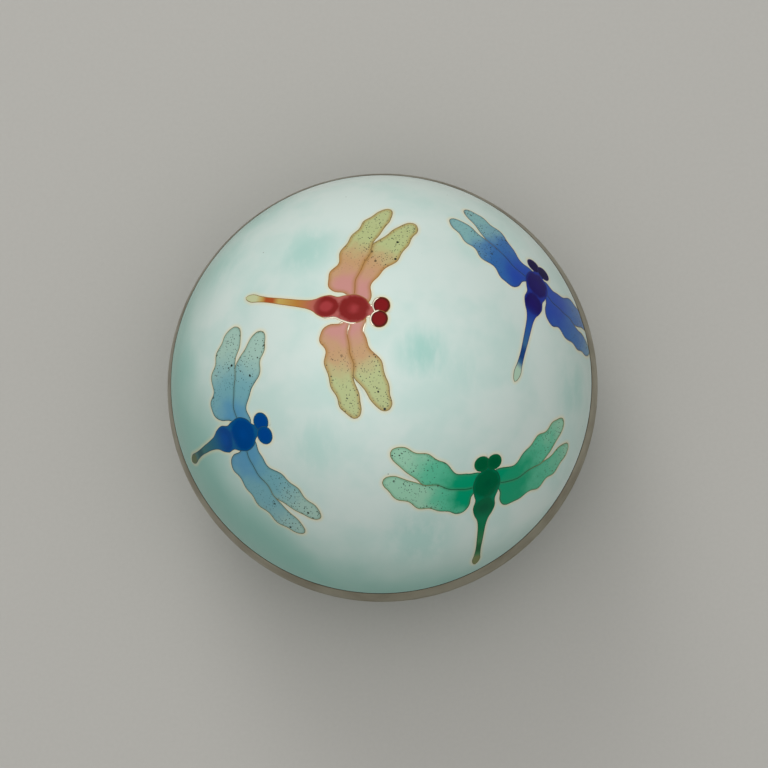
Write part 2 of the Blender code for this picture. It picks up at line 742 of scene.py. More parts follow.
@dataclass(frozen=True)
class WingEnamel:
    """Translucent enamel in a wing's cell, shaded from root to tip over the white ground.

    It gives the eye a glassy gradient that gathers colour beside the wires, with the dark specks
    that come up in the firing. Each layer of specks is a spacing, a size as a share of it and a
    depth.
    """

    name: str
    root: str
    middle: str
    tip: str
    stain: str
    speck: str = "#222B24"
    stain_reach: float = 0.65
    stain_depth: float = 0.4
    speck_start: float = 0.19
    speck_full: float = 0.54
    speck_edge: float = 0.8
    speck_layers: tuple[tuple[float, float, float], ...] = (
        (0.48, 0.25, 0.85),
        (1.15, 0.15, 0.95),
        (2.6, 0.11, 1.0),
    )
    stops: tuple[float, float, float] = (0.10, 0.36, 0.66)
    wander: float = 0.24
    wander_size: float = 2.6
    bunch_size: float = 3.2
    bunch_edges: tuple[float, float] = (0.30, 0.50)
    roughness: float = 0.09
    gloss: float = 0.2

    def make(self) -> Material:
        """Builds the node material.

        Returns:
            The material.
        """
        material, tree, where = new_material(self.name)
        along = add_node(tree, "Attribute", (), "Fac", attribute_name="along")
        drift = add_node(tree, "TexNoise", sized(where, self.wander_size, Detail=3.0))
        drift = [drift, self.wander, -self.wander / 2]
        drift = add_node(tree, "Math", drift, operation="MULTIPLY_ADD")
        reach = add_node(tree, "Math", [drift, along], operation="ADD", use_clamp=True)
        stops = list(zip(self.stops, (self.root, self.middle, self.tip)))
        shade = add_node(tree, "ValToRGB", [reach], stops=stops)
        shade.node.color_ramp.interpolation = "EASE"
        edge = add_node(tree, "Attribute", (), "Fac", attribute_name="edge_mm")
        stained = [edge, 0.0, self.stain_reach, self.stain_depth, 0.0]
        stained = add_node(tree, "MapRange", stained, **SMOOTH)
        colour = {"Factor": stained, "A": shade, "B": self.stain}
        colour = add_node(tree, "Mix", colour, "Result", **RGBA)
        outer = [along, self.speck_start, self.speck_full]
        outer = add_node(tree, "MapRange", outer, **SMOOTH)
        bunches = add_node(tree, "TexNoise", sized(where, self.bunch_size, Detail=1.0))
        bunches = add_node(tree, "MapRange", [bunches, *self.bunch_edges])
        spread = add_node(tree, "Math", [outer, bunches], operation="MULTIPLY")
        for spacing, share, depth in self.speck_layers:
            grit = add_node(tree, "TexVoronoi", sized(where, spacing))
            dots = [grit, share * self.speck_edge, share, depth, 0.0]
            dots = add_node(tree, "MapRange", dots, **SMOOTH)
            shown = add_node(tree, "Math", [dots, spread], operation="MULTIPLY")
            colour = {"Factor": shown, "A": colour, "B": self.speck}
            colour = add_node(tree, "Mix", colour, "Result", **RGBA)
        return shaded(
            material,
            {
                "Base Color": colour,
                "Roughness": self.roughness,
                "IOR": ENAMEL_IOR,
                "Specular IOR Level": self.gloss,
            },
        )


@dataclass(frozen=True)
class BodyEnamel:
    """Deep enamel in the body's cells, darkest in a ring round each heart, with a banded tail.

    It gives the eye a saturated, pooled colour with a lighter line beside the wires.
    """

    name: str
    heart: str
    core: str
    rim: str
    tail: str
    tail_end: str
    band: str
    tip: str
    trunk_places: tuple[float, ...] = (0.10, 0.32, 0.5, 0.84)
    tail_places: tuple[float, ...] = (0.0, 0.10, 0.15, 0.19, 0.25, 0.30, 0.45, 0.62)
    trunk_edges: tuple[float, float] = (0.50, 0.66)
    pool_size: float = 1.4
    pool_depth: float = 0.25
    roughness: float = 0.08
    gloss: float = 0.1

    def make(self) -> Material:
        """Builds the node material.

        Returns:
            The material.
        """
        material, tree, where = new_material(self.name)
        along = add_node(tree, "Attribute", (), "Fac", attribute_name="along")
        lobe = add_node(tree, "Attribute", (), "Fac", attribute_name="lobe")
        pools = add_node(tree, "TexNoise", sized(where, self.pool_size, Detail=2.0))
        pools = add_node(tree, "Math", [pools, self.pool_depth, lobe], operation="MULTIPLY_ADD")
        stops = list(zip(self.trunk_places, (self.rim, self.core, self.core, self.heart)))
        trunk = add_node(tree, "ValToRGB", [pools], stops=stops)
        trunk.node.color_ramp.interpolation = "EASE"
        colours = [self.tip] * 2 + [self.tail_end, self.band, self.band, self.tail_end]
        stops = list(zip(self.tail_places, [*colours, self.tail, self.rim]))
        tail = add_node(tree, "ValToRGB", [along], stops=stops)
        front = add_node(tree, "MapRange", [along, *self.trunk_edges], **SMOOTH)
        whole = {"Factor": front, "A": tail, "B": trunk}
        return shaded(
            material,
            {
                "Base Color": add_node(tree, "Mix", whole, "Result", **RGBA),
                "Roughness": self.roughness,
                "IOR": ENAMEL_IOR,
                "Specular IOR Level": self.gloss,
            },
        )


@dataclass(frozen=True)
class EyeEnamel:
    """One pool of enamel in each eye's cell. It gives the eye a glossy bead, darker or lighter
    towards its wire."""

    name: str
    pool: str
    rim: str
    rim_width: float = 0.7
    roughness: float = 0.07
    gloss: float = 0.05

    def make(self) -> Material:
        """Builds the node material.

        Returns:
            The material.
        """
        material, tree, _ = new_material(self.name)
        edge = add_node(tree, "Attribute", (), "Fac", attribute_name="edge_mm")
        depth = add_node(tree, "MapRange", [edge, 0.0, self.rim_width], **SMOOTH)
        colour = {"Factor": depth, "A": self.rim, "B": self.pool}
        return shaded(
            material,
            {
                "Base Color": add_node(tree, "Mix", colour, "Result", **RGBA),
                "Roughness": self.roughness,
                "IOR": ENAMEL_IOR,
                "Specular IOR Level": self.gloss,
            },
        )


@dataclass(frozen=True)
class FiredWire:
    """Fine gold wire that was fired and ground flush.

    It gives the eye a thin browned line, with a painted glint that makes it bright at given spots.
    """

    name: str
    dull: str
    deep: str
    # Colour of the painted glint.
    painted_glint_colour: str = "#FFF2DA"
    wear_size: float = 1.5
    wear_depth: float = 0.35
    dull_metal: float = 0.05
    roughness: float = 0.42
    glint_roughness: float = 0.16
    gloss: float = 0.15

    def make(self) -> Material:
        """Builds the node material.

        Returns:
            The material.
        """
        material, tree, where = new_material(self.name)
        wear = add_node(tree, "TexNoise", sized(where, self.wear_size, Detail=2.0))
        near = add_node(tree, "Attribute", (), "Fac", attribute_name="near_body")
        # Painted glint: at the given spots the wire gets a bright colour, more metal and less
        # roughness.
        painted_glint = add_node(tree, "Attribute", (), "Fac", attribute_name="painted_glint")
        colour = {"Factor": near, "A": self.dull, "B": self.deep}
        colour = add_node(tree, "Mix", colour, "Result", **RGBA)
        colour = {"Factor": self.wear_depth, "A": colour, "B": wear}
        colour = add_node(tree, "Mix", colour, "Result", blend_type="MULTIPLY", **RGBA)
        colour = {"Factor": painted_glint, "A": colour, "B": self.painted_glint_colour}
        glint_smoothing = [painted_glint, 0.0, 1.0, self.roughness, self.glint_roughness]
        return shaded(
            material,
            {
                "Base Color": add_node(tree, "Mix", colour, "Result", **RGBA),
                "Metallic": add_node(tree, "MapRange", [painted_glint, 0.0, 1.0, self.dull_metal]),
                "Roughness": add_node(tree, "MapRange", glint_smoothing),
                "Specular IOR Level": self.gloss,
            },
        )


@dataclass(frozen=True)
class SatinSilver:
    """Turned silver, rubbed to a satin and warm with a thin tarnish.

    It gives the eye a soft grey band with very fine lines round it and browner spots.
    """

    name: str = "satin_silver"
    clean: str = "#A9A490"
    tarnish: str = "#8D8570"
    tarnish_size: float = 7.0
    tarnish_edges: tuple[float, float] = (0.35, 0.7)
    tarnish_depth: float = 0.8
    line_size: float = 0.12
    line_stretch: tuple[float, float, float] = (0.02, 0.02, 1.0)
    line_depth: float = 0.01
    line_strength: float = 0.25
    least_roughness: float = 0.32
    most_roughness: float = 0.50

    def make(self) -> Material:
        """Builds the node material.

        Returns:
            The material.
        """
        material, tree, where = new_material(self.name)
        cloudy = sized(where, self.tarnish_size, Detail=3.0, Roughness=0.5)
        cloudy = add_node(tree, "TexNoise", cloudy)
        aged = [cloudy, *self.tarnish_edges, 0.0, self.tarnish_depth]
        aged = add_node(tree, "MapRange", aged, **SMOOTH)
        colour = {"Factor": aged, "A": self.clean, "B": self.tarnish}
        round_axis = add_node(tree, "Mapping", {"Vector": where, "Scale": self.line_stretch})
        lines = add_node(tree, "TexNoise", sized(round_axis, self.line_size, Detail=2.0))
        depth = {"Strength": self.line_strength, "Distance": self.line_depth * MM}
        rough = [cloudy, 0.0, 1.0, self.least_roughness, self.most_roughness]
        return shaded(
            material,
            {
                "Base Color": add_node(tree, "Mix", colour, "Result", **RGBA),
                "Normal": add_node(tree, "Bump", {"Height": lines, **depth}),
                "Roughness": add_node(tree, "MapRange", rough),
                "Metallic": 1.0,
            },
        )


@dataclass(frozen=True)
class BlackenedJoint:
    """Oxidised copper and old polish in the joint between enamel and silver.

    It gives the eye the dark hairline round the enamel.
    """

    name: str = "blackened_joint"
    dark: str = "#17140F"
    brown: str = "#3A2E20"
    crust_size: float = 1.6
    roughness: float = 0.75

    def make(self) -> Material:
        """Builds the node material.

        Returns:
            The material.
        """
        material, tree, where = new_material(self.name)
        crust = add_node(tree, "TexNoise", sized(where, self.crust_size, Detail=3.0))
        colour = {"Factor": crust, "A": self.dark, "B": self.brown}
        colour = add_node(tree, "Mix", colour, "Result", **RGBA)
        return shaded(material, {"Base Color": colour, "Roughness": self.roughness})


@dataclass(frozen=True)
class CounterEnamel:
    """Plain enamel fired inside the shells to balance the outside.

    It gives the eye a pale, slightly uneven lining.
    """

    name: str = "pale_counter_enamel"
    pale: str = "#C4DCD4"
    deep: str = "#A3C8BE"
    drift_size: float = 9.0
    peel_size: float = 1.2
    peel_depth: float = 0.03
    peel_strength: float = 0.3
    roughness: float = 0.16

    def make(self) -> Material:
        """Builds the node material.

        Returns:
            The material.
        """
        material, tree, where = new_material(self.name)
        drift = add_node(tree, "TexNoise", sized(where, self.drift_size, Detail=4.0))
        colour = {"Factor": drift, "A": self.pale, "B": self.deep}
        peel = add_node(tree, "TexNoise", sized(where, self.peel_size, Detail=1.0))
        depth = {"Strength": self.peel_strength, "Distance": self.peel_depth * MM}
        return shaded(
            material,
            {
                "Base Color": add_node(tree, "Mix", colour, "Result", **RGBA),
                "Normal": add_node(tree, "Bump", {"Height": peel, **depth}),
                "Roughness": self.roughness,
                "IOR": ENAMEL_IOR,
            },
        )


# The turned pieces


@dataclass
class Lid:
    """The domed lid: its enamelled shell and its silver rim."""

    steps: int = 256
    dome_points: int = 110
    lining_points: int = 60
    rim_points: int = 12
    rim_ease: float = 0.0001
    level_normal: float = 0.9

    def dome_curve(self, inset: float, count: int) -> list[tuple[float, float]]:
        """The dome's section from its top to the enamel's edge.

        Args:
            inset: How far inside the outer face, in metres.
            count: How many points.

        Returns:
            Points (radius, level).
        """
        sphere = SHAPE.sphere - inset
        reach = math.acos((SHAPE.enamel_edge - SHAPE.centre) / sphere)
        return [
            (sphere * math.sin(angle), SHAPE.centre + sphere * math.cos(angle))
            for angle in np.linspace(0, reach, count)
        ]

    def shell(self, outside: Material, lining: Material, joint: Material) -> Piece:
        """Turns the enamelled shell and dresses its two faces and its edge.

        Args:
            outside: The ground enamel.
            lining: The counter enamel.
            joint: The finish of the edge that meets the rim.

        Returns:
            The shell.
        """
        outline = self.dome_curve(SHAPE.wire_room, self.dome_points)
        outline += self.dome_curve(SHAPE.wall, self.lining_points)[::-1]
        piece = turned_piece("lid_enamel", outline, self.steps, 0.0)
        dress(piece, outside, lining, joint)
        half_way = SHAPE.sphere - SHAPE.wall / 2
        middle = Vector((0, 0, SHAPE.centre))
        for polygon in piece.data.polygons:
            polygon.material_index = int((polygon.center - middle).length < half_way)
            if polygon.normal.z < -self.level_normal:
                polygon.material_index = 2
        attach(piece, BODY)
        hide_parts("lid")
        return piece

    def rim(self, silver: Material, joint: Material) -> Piece:
        """Turns the lid's silver rim.

        Args:
            silver: The rim's finish.
            joint: The finish of the top that meets the enamel.

        Returns:
            The rim.
        """
        top = SHAPE.seam + SHAPE.lid_rim_height
        bottom = SHAPE.seam + SHAPE.seat_gap
        outline = [
            (SHAPE.dome_radius(level, SHAPE.rim_room), level)
            for level in np.linspace(top, bottom, self.rim_points)
        ]
        outline += [(SHAPE.bore, bottom), (SHAPE.bore, top)]
        piece = turned_piece("lid_silver_rim", outline, self.steps, self.rim_ease)
        dress(piece, silver, joint)
        for polygon in piece.data.polygons:
            polygon.material_index = int(polygon.normal.z > self.level_normal)
        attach(piece, BODY)
        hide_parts("lid_rim")
        return piece


@dataclass
class Base:
    """What the lid rests on: the bowl, its silver rim with the collar, and the foot ring."""

    steps: int = 192
    bowl_points: int = 64
    widest_tested: float = 0.0400
    rim_points: int = 8
    rim_ease: float = 0.00018
    foot_radius: float = 0.0225
    foot_width: float = 0.0022
    foot_flare: float = 0.0006
    foot_points: int = 8
    foot_ease: float = 0.00035

    def bowl_curve(self, inset: float) -> list[tuple[float, float]]:
        """The bowl's section from its middle up to its rim.

        Args:
            inset: How far inside the outer face, in metres.

        Returns:
            Points (radius, level).
        """
        edge = SHAPE.seam - SHAPE.bowl_rim_height - SHAPE.seat_gap
        half = SHAPE.seam_radius - inset
        reach = math.asin(SHAPE.bowl_radius(edge, inset) / half)
        radii = [half * math.sin(angle) for angle in np.linspace(0, reach, self.bowl_points)]
        return [(radius, SHAPE.bowl_level(radius, inset)) for radius in radii]

    def bowl(self, outside: Material, lining: Material) -> Piece:
        """Turns the bowl and dresses its two faces.

        Args:
            outside: The ground enamel.
            lining: The counter enamel.

        Returns:
            The bowl.
        """
        outline = self.bowl_curve(SHAPE.wall) + self.bowl_curve(0.0)[::-1]
        piece = turned_piece("bowl_enamel", outline, self.steps, 0.0)
        dress(piece, outside, lining)
        for polygon in piece.data.polygons:
            normal, centre = polygon.normal, polygon.center
            radius = min(math.hypot(centre.x, centre.y), self.widest_tested)
            inwards = normal.z > 0 or normal.xy.dot(centre.xy) < 0
            above = centre.z > SHAPE.bowl_level(radius, SHAPE.wall / 2)
            polygon.material_index = int(inwards and above)
        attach(piece, BODY)
        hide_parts("bowl")
        return piece

    def rim(self, silver: Material) -> Piece:
        """Turns the bowl's silver rim with the collar that keeps the lid in place.

        Args:
            silver: The rim's finish.

        Returns:
            The rim.
        """
        collar_outer = SHAPE.bore - SHAPE.collar_clearance
        collar_inner = collar_outer - SHAPE.collar_wall
        collar_top = SHAPE.seam + SHAPE.collar_height
        bottom = SHAPE.seam - SHAPE.bowl_rim_height
        outline = [(collar_outer, collar_top), (collar_outer, SHAPE.seam)]
        outline += [
            (SHAPE.bowl_radius(level) - SHAPE.rim_room, level)
            for level in np.linspace(SHAPE.seam, bottom, self.rim_points)
        ]
        outline.append((SHAPE.bowl_radius(bottom, SHAPE.wall), bottom))
        outline += [(collar_inner, SHAPE.seam), (collar_inner, collar_top)]
        piece = turned_piece("bowl_silver_rim", outline, self.steps, self.rim_ease)
        dress(piece, silver)
        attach(piece, BODY)
        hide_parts("bowl_rim")
        return piece

    def foot(self, silver: Material) -> Piece:
        """Turns the foot ring.

        Args:
            silver: The ring's finish.

        Returns:
            The foot ring.
        """
        inner = self.foot_radius - self.foot_width
        outline = [
            (radius, SHAPE.bowl_level(radius) - SHAPE.seat_gap)
            for radius in np.linspace(inner, self.foot_radius, self.foot_points)
        ]
        outline += [(self.foot_radius + self.foot_flare, 0.0), (inner, 0.0)]
        piece = turned_piece("silver_foot_ring", outline, self.steps, self.foot_ease)
        dress(piece, silver)
        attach(piece, BODY)
        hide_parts("foot_ring")
        return piece


# The dragonflies

# How far off an outline a point is tested, in millimetres, to find its outer side.
OUTSIDE_STEP = 0.05


class Side(Enum):
    """The side of the body that a pair of wings is on."""

    LEFT = 1
    RIGHT = -1


class Layer(Enum):
    """How far over the dome's face each kind of cell lies, in millimetres."""

    FRINGE = 0.004
    WING = 0.012
    BODY = 0.024
    EYE = 0.034
    UPPER_EYE = 0.039
    WIRE = -0.035
    GROUND_WIRE = 0.05


@dataclass(frozen=True)
class WingPair:
    """A fore and a hind wing that share a wire near the body, drawn in millimetres.

    The drawing's x runs from the root to the tips and its y towards the head. The waves are how
    much of the pair's light wave each edge is drawn with.
    """

    length: float = 18.4
    breadth: float = 1.0
    hind_length: float = 1.0
    hind_breadth: float = 1.0
    front: Line = (
        (-2.0, 2.6), (0.6, 2.9), (2.8, 2.0), (5.2, 2.1), (8.2, 3.5), (10.8, 4.2),
        (13.0, 4.1), (15.4, 4.3), (17.2, 4.1), (18.2, 3.4), (18.4, 2.6),
    )
    shared: Line = (
        (-2.0, 0.4), (0.4, -0.3), (2.6, -1.2), (5.4, -1.5), (8.2, -1.4), (10.4, -1.9),
    )
    fore_back: Line = (
        (12.2, -1.2), (14.0, -0.4), (15.8, 0.3), (17.2, 1.0), (18.1, 1.8), (18.4, 2.6),
    )
    hind_front: Line = ((12.4, -2.0), (14.4, -1.8), (16.2, -2.0), (17.4, -2.6), (17.8, -3.3))
    hind_back: Line = (
        (-2.0, -0.2), (-0.5, -0.9), (0.1, -2.3), (-0.2, -4.2), (0.4, -5.8), (2.2, -6.6),
        (4.6, -6.3), (6.8, -6.7), (8.8, -7.0), (10.8, -6.6), (13.0, -6.5), (15.2, -5.9),
        (16.9, -5.0), (17.7, -4.1), (17.8, -3.3),
    )
    shared_level: float = 2.4
    front_waves: float = 0.8
    shared_waves: float = 0.4
    back_waves: float = 1.0
    wave_height: float = 0.27
    wave_length: float = 4.7
    wave_fade: float = 3.0
    wave_start: float = 0.0
    fore_shade: float = 1.0
    hind_shade: float = 1.0

    def line(self, controls: Line, count: int, waves: float, hind: bool = False) -> Array:
        """One edge of a wing at this pair's size, as evenly spaced points.

        Args:
            controls: The edge's points in the plain drawing.
            count: How many points come back.
            waves: How much of the pair's light wave the edge is drawn with.
            hind: Whether the edge belongs to the hind wing, whose tip reaches further.

        Returns:
            The edge's points.
        """
        share = self.length / self.front[-1][0]
        split = self.shared[-1][0]
        tip = self.hind_back[-1][0]
        drawn = []
        for x, y in controls:
            beyond = max(x - split, 0.0) / (tip - split) if hind else 0.0
            stretch = 1 + (self.hind_length - 1) * beyond
            behind = min(y + self.shared_level, 0.0) * (self.hind_breadth - 1)
            drawn.append((x * share * stretch, (y + behind) * self.breadth))
        line = smooth_line(drawn, count)
        from_root = np.clip(line[:, 0] / self.wave_fade, 0, 1)
        fade = from_root * np.clip((self.length - line[:, 0]) / self.wave_fade, 0, 1)
        turn = 2 * math.pi * line[:, 0] / self.wave_length + self.wave_start
        line[:, 1] += waves * self.wave_height * np.sin(turn) * fade
        return line

    def edges(self, count: int) -> list[Array]:
        """The four long edges, each from root to tip.

        Args:
            count: How many points each edge gets.

        Returns:
            The fore wing's front and back edge, and the hind wing's.
        """
        return [
            self.line(self.front, count, self.front_waves),
            self.line(self.shared + self.fore_back, count, self.shared_waves),
            self.line(self.shared + self.hind_front, count, self.shared_waves, hind=True),
            self.line(self.hind_back, count, self.back_waves, hind=True),
        ]


@dataclass(frozen=True)
class DragonflyLook:
    """The enamels and the wire of one dragonfly."""

    wings: WingEnamel
    body: BodyEnamel
    eyes: EyeEnamel
    wire: FiredWire


@dataclass
class Dragonfly:
    """One dragonfly in the lid's enamel: four wings, a body with a tail, two eyes and wires.

    Its sizes are in millimetres of the drawing. A painted glint spot is a place ahead of and left
    of the body's middle, and its reach, where a painted highlight lies on the wires. A lobe is its
    place, half its length and width, and how much it stands out.
    """

    name: str
    spot: DomeSpot
    look: DragonflyLook
    wings_left: WingPair = field(default_factory=WingPair)
    wings_right: WingPair = field(default_factory=WingPair)
    lean_left: float = 74.0
    lean_right: float = 74.0
    root_ahead: float = 0.5
    root_aside: float = 2.4
    tail_length: float = 22.0
    tail_bend: float = 0.0
    tail_curl: float = 1.6
    body_width: float = 1.0
    trunk: Line = (
        (4.9, 0.02), (4.6, 0.8), (3.6, 1.3), (2.6, 2.35), (0.7, 2.95), (-1.4, 2.55),
        (-2.8, 2.1), (-4.5, 2.35), (-6.1, 1.9), (-7.5, 1.15), (-9.4, 0.78),
    )
    tail_middle: tuple[float, float] = (0.6, 0.62)
    tail_tip: Line = ((5.6, 0.52), (3.4, 0.64), (1.8, 0.84), (0.5, 0.5), (0.0, 0.02))
    tail_root: float = -4.0
    shade_front: float = 4.0
    lobes: tuple[tuple[float, float, float, float], ...] = (
        (0.7, 3.4, 3.1, 0.72),
        (-4.8, 2.7, 2.4, 1.0),
    )
    eye_ahead: float = 5.9
    eye_aside: float = 1.36
    eye_radius: float = 1.6
    eye_length: float = 0.96
    eye_cells: tuple[int, int] = (40, 6)
    eye_merge: float = 1e-6
    wire_radius: float = 0.088
    # How much the wire swells under its painted glint, and how sharply the glint fades.
    glint_swell: float = 1.25
    glint_edge: float = 2.2
    bloom_reach: float = 1.0
    bloom_depth: float = 0.7
    bloom_fall: float = 1.6
    dark_wire_reach: float = 13.0
    dark_wire_fade: float = 4.5
    # Spots where a painted glint brightens the wires.
    painted_glint_spots: tuple[tuple[float, float, float], ...] = ()
    dark_wire_spine: tuple[float, float] = (-9.0, 3.0)
    wire_steps: int = 90
    wire_roundness: int = 2
    spine_steps: int = 25
    shade_root: tuple[float, float] = (0.0, -1.0)
    wing_steps: int = 200
    wing_cells: tuple[int, int] = (72, 18)
    body_cells: tuple[int, int] = (96, 12)
    fringe_steps: int = 130
    fringe_cells: tuple[int, int] = (220, 6)
    fringe_rise: float = 0.0006
    fringe_fall: float = 0.002

    @property
    def pairs(self) -> list[tuple[Side, WingPair]]:
        """Each side with its pair of wings."""
        return [(Side.LEFT, self.wings_left), (Side.RIGHT, self.wings_right)]

    def laid_pair(self, side: Side, line: Array) -> Array:
        """Moves a line from a wing pair's drawing to the dragonfly's.

        Args:
            side: The side of the body.
            line: Points of the pair's drawing.

        Returns:
            Points of the dragonfly's drawing.
        """
        lean = math.radians(self.lean_left if side is Side.LEFT else self.lean_right)
        x = line[:, 0] * math.cos(lean) + line[:, 1] * math.sin(lean) + self.root_ahead
        y = line[:, 0] * math.sin(lean) - line[:, 1] * math.cos(lean) + self.root_aside
        return np.column_stack([x, y * side.value])

    def body_line(self) -> tuple[Array, Array]:
        """The body's two sides, from the neck to the tail's tip.

        Returns:
            Points along the left side, and along the right side.
        """
        end = -self.tail_length
        middle = (end * self.tail_middle[0], self.tail_middle[1])
        tip = [(end + ahead, half) for ahead, half in self.tail_tip]
        profile = smooth_line([*self.trunk, middle, *tip], self.body_cells[0] + 1)
        ahead = profile[:, 0]
        half = np.maximum(profile[:, 1], 0.0) * self.body_width
        back = np.clip((ahead - self.tail_root) / (end - self.tail_root), 0.0, 1.0)
        middle = self.tail_bend * back**self.tail_curl
        slope = np.gradient(middle, ahead, edge_order=1)
        tilt = np.column_stack([-slope, np.ones_like(slope)])
        tilt /= np.hypot(*tilt.T)[:, None]
        spine = np.column_stack([ahead, middle])
        return spine + tilt * half[:, None], spine - tilt * half[:, None]

    def body_outline(self) -> Array:
        """The body's closed outline."""
        left, right = self.body_line()
        return np.vstack([left, right[::-1][1:-1]])

    def eye_outline(self, side: Side) -> Array:
        """One eye's closed outline.

        Args:
            side: The side of the body.

        Returns:
            Points round the eye.
        """
        turn = np.linspace(0, 2 * math.pi, self.eye_cells[0], endpoint=False)
        ahead = self.eye_ahead + self.eye_radius * self.eye_length * np.cos(turn)
        aside = side.value * self.eye_aside + self.eye_radius * np.sin(turn)
        return np.column_stack([ahead, aside])

    def wire_lines(self) -> list[tuple[Array, bool]]:
        """Every wire's line in the drawing, and whether it is closed.

        Returns:
            Pairs of points and a flag.
        """
        body = self.body_outline()
        lower, upper = eyes = [self.eye_outline(side) for side in Side]
        neck = inside_outline(body, lower) | inside_outline(body, upper)
        parts = []
        for ring, hidden in ((body, neck), (lower, inside_outline(lower, upper))):
            start = -int(np.argmax(hidden))
            parts += self.shown_parts(np.roll(ring, start, axis=0), np.roll(hidden, start))
        lines = [(part, False) for part in parts] + [(upper, True)]
        for side, pair in self.pairs:
            front, fore_back, hind_front, hind_back = (
                self.laid_pair(side, edge) for edge in pair.edges(self.wire_steps)
            )
            split = self.laid_pair(side, pair.line(pair.shared, 3, pair.shared_waves))[-1:]
            first = int(np.argmin(np.hypot(*(hind_front - split).T)))
            fore = np.vstack([front, fore_back[::-1][1:]])
            hind = np.vstack([hind_front[first:], hind_back[::-1][1:]])
            for line in (fore, hind):
                hidden = np.any([inside_outline(line, over) for over in (body, *eyes)], axis=0)
                lines += [(part, False) for part in self.shown_parts(line, hidden)]
        return lines

    @staticmethod
    def shown_parts(line: Array, hidden: Array) -> list[Array]:
        """Splits a line where it passes under the body.

        Args:
            line: The line's points.
            hidden: True for each point that is covered.

        Returns:
            The parts that show, of three points or more.
        """
        parts: list[list[Array]] = [[]]
        for point, covered in zip(line, hidden):
            if covered:
                parts.append([])
            else:
                parts[-1].append(point)
        return [np.array(part) for part in parts if len(part) > 2]

    def cell(
        self, name: str, cells: tuple[int, int], first: Array, second: Array, height: float
    ) -> tuple[Piece, Array, Array]:
        """Lays a grid on the dome as one cell of enamel that fills the space between two lines.

        Args:
            name: The piece's name.
            cells: Faces along and across.
            first: The line where the share across is 0.
            second: The line where it is 1, with as many points.
            height: How far over the dome's face it lies, in millimetres.

        Returns:
            The piece, its points in the drawing, and its shares across.
        """
        deselect_all()
        bpy.ops.mesh.primitive_grid_add(
            x_subdivisions=cells[0], y_subdivisions=cells[1], size=1
        )
        piece = new_piece(name)
        along, across = np.clip(points_of(piece)[:, :2] + 0.5, 0, 1).T
        shares = np.linspace(0, 1, len(first))
        start, end = (
            np.column_stack([np.interp(along, shares, line[:, axis]) for axis in (0, 1)])
            for line in (first, second)
        )
        drawing = start + (end - start) * across[:, None]
        place_points(piece, self.spot.lay(drawing, height))
        return piece, drawing, across

    def finish_cells(
        self, pieces: list[Piece], name: str, enamel: Material, merge: float = 0.0
    ) -> Piece:
        """Joins cells into one piece that faces out of the dome and rides on the box.

        Args:
            pieces: The cells.
            name: The joined piece's name.
            enamel: Its finish.
            merge: The largest distance between points that are merged, in metres, or 0.

        Returns:
            The joined piece.
        """
        piece = join_pieces(pieces, name)
        bpy.ops.object.shade_smooth()
        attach(piece, BODY)
        if merge:
            merge_points(piece, merge)
        middle = Vector((0, 0, SHAPE.centre))
        pick(piece)
        for polygon in piece.data.polygons:
            polygon.select = polygon.normal.dot(polygon.center - middle) < 0
        bpy.ops.object.mode_set(mode="EDIT")
        bpy.ops.mesh.select_mode(type="FACE")
        bpy.ops.mesh.flip_normals()
        bpy.ops.object.mode_set(mode="OBJECT")
        dress(piece, enamel)
        return piece

    def wings(self) -> Piece:
        """Makes the four wings' cells.

        Returns:
            The wings.
        """
        pieces = []
        body = self.body_outline()
        for side, pair in self.pairs:
            edges = [self.laid_pair(side, edge) for edge in pair.edges(self.wing_steps)]
            root = self.laid_pair(side, np.array([self.shade_root]))[0]
            for front, back, shade in (
                (*edges[:2], pair.fore_shade),
                (*edges[2:], pair.hind_shade),
            ):
                piece, drawing, _ = self.cell(
                    f"{self.name}_wing", self.wing_cells, front, back, Layer.WING.value
                )
                rim = np.vstack([front, back])
                rim = rim[~inside_outline(rim, body)]
                far = np.hypot(*(drawing - root).T) / (pair.length * shade)
                write_values(piece, "along", np.clip(far, 0, 1))
                write_values(piece, "edge_mm", nearest_distance(drawing, rim))
                pieces.append(piece)
        return self.finish_cells(pieces, f"{self.name}_wings", self.look.wings.make())

    def body(self) -> Piece:
        """Makes the body's cell, from the neck to the tail's tip.

        Returns:
            The body.
        """
        piece, drawing, _ = self.cell(
            f"{self.name}_trunk", self.body_cells, *self.body_line(), Layer.BODY.value
        )
        end = -self.tail_length
        along = (drawing[:, 0] - end) / (self.shade_front - end)
        write_values(piece, "along", np.clip(along, 0, 1))
        lobes = []
        for ahead, half_long, half_wide, depth in self.lobes:
            across = drawing[:, 1] / (half_wide * self.body_width)
            lobes.append(depth - depth * np.hypot((drawing[:, 0] - ahead) / half_long, across))
        write_values(piece, "lobe", np.clip(np.maximum(*lobes), 0, 1))
        return self.finish_cells([piece], f"{self.name}_body", self.look.body.make())

    def eyes(self) -> Piece:
        """Makes the two eyes' cells.

        Returns:
            The eyes.
        """
        pieces = []
        for side, layer in ((Side.LEFT, Layer.EYE), (Side.RIGHT, Layer.UPPER_EYE)):
            outline = self.eye_outline(side)
            ring = np.vstack([outline, outline[:1]])
            middle = np.repeat(outline.mean(axis=0)[None, :], len(ring), axis=0)
            piece, drawing, _ = self.cell(
                f"{self.name}_eye", self.eye_cells, ring, middle, layer.value
            )
            write_values(piece, "edge_mm", nearest_distance(drawing, outline))
            pieces.append(piece)
        enamel = self.look.eyes.make()
        return self.finish_cells(pieces, f"{self.name}_eyes", enamel, self.eye_merge)

    def painted_glint_at(self, points: Array) -> Array:
        """How strongly the painted glint lies on the wires at these points of the dome, from 0 to
        1.

        Args:
            points: A row for each point, in metres.

        Returns:
            One number for each point.
        """
        painted_glint = np.zeros(len(points))
        for ahead, aside, reach in self.painted_glint_spots:
            spot = self.spot.lay(np.array([[ahead, aside]]), 0.0)
            far = np.linalg.norm(points - spot, axis=1) / (reach * MM)
            painted_glint = np.maximum(painted_glint, np.clip(self.glint_edge * (1 - far), 0, 1))
        return painted_glint

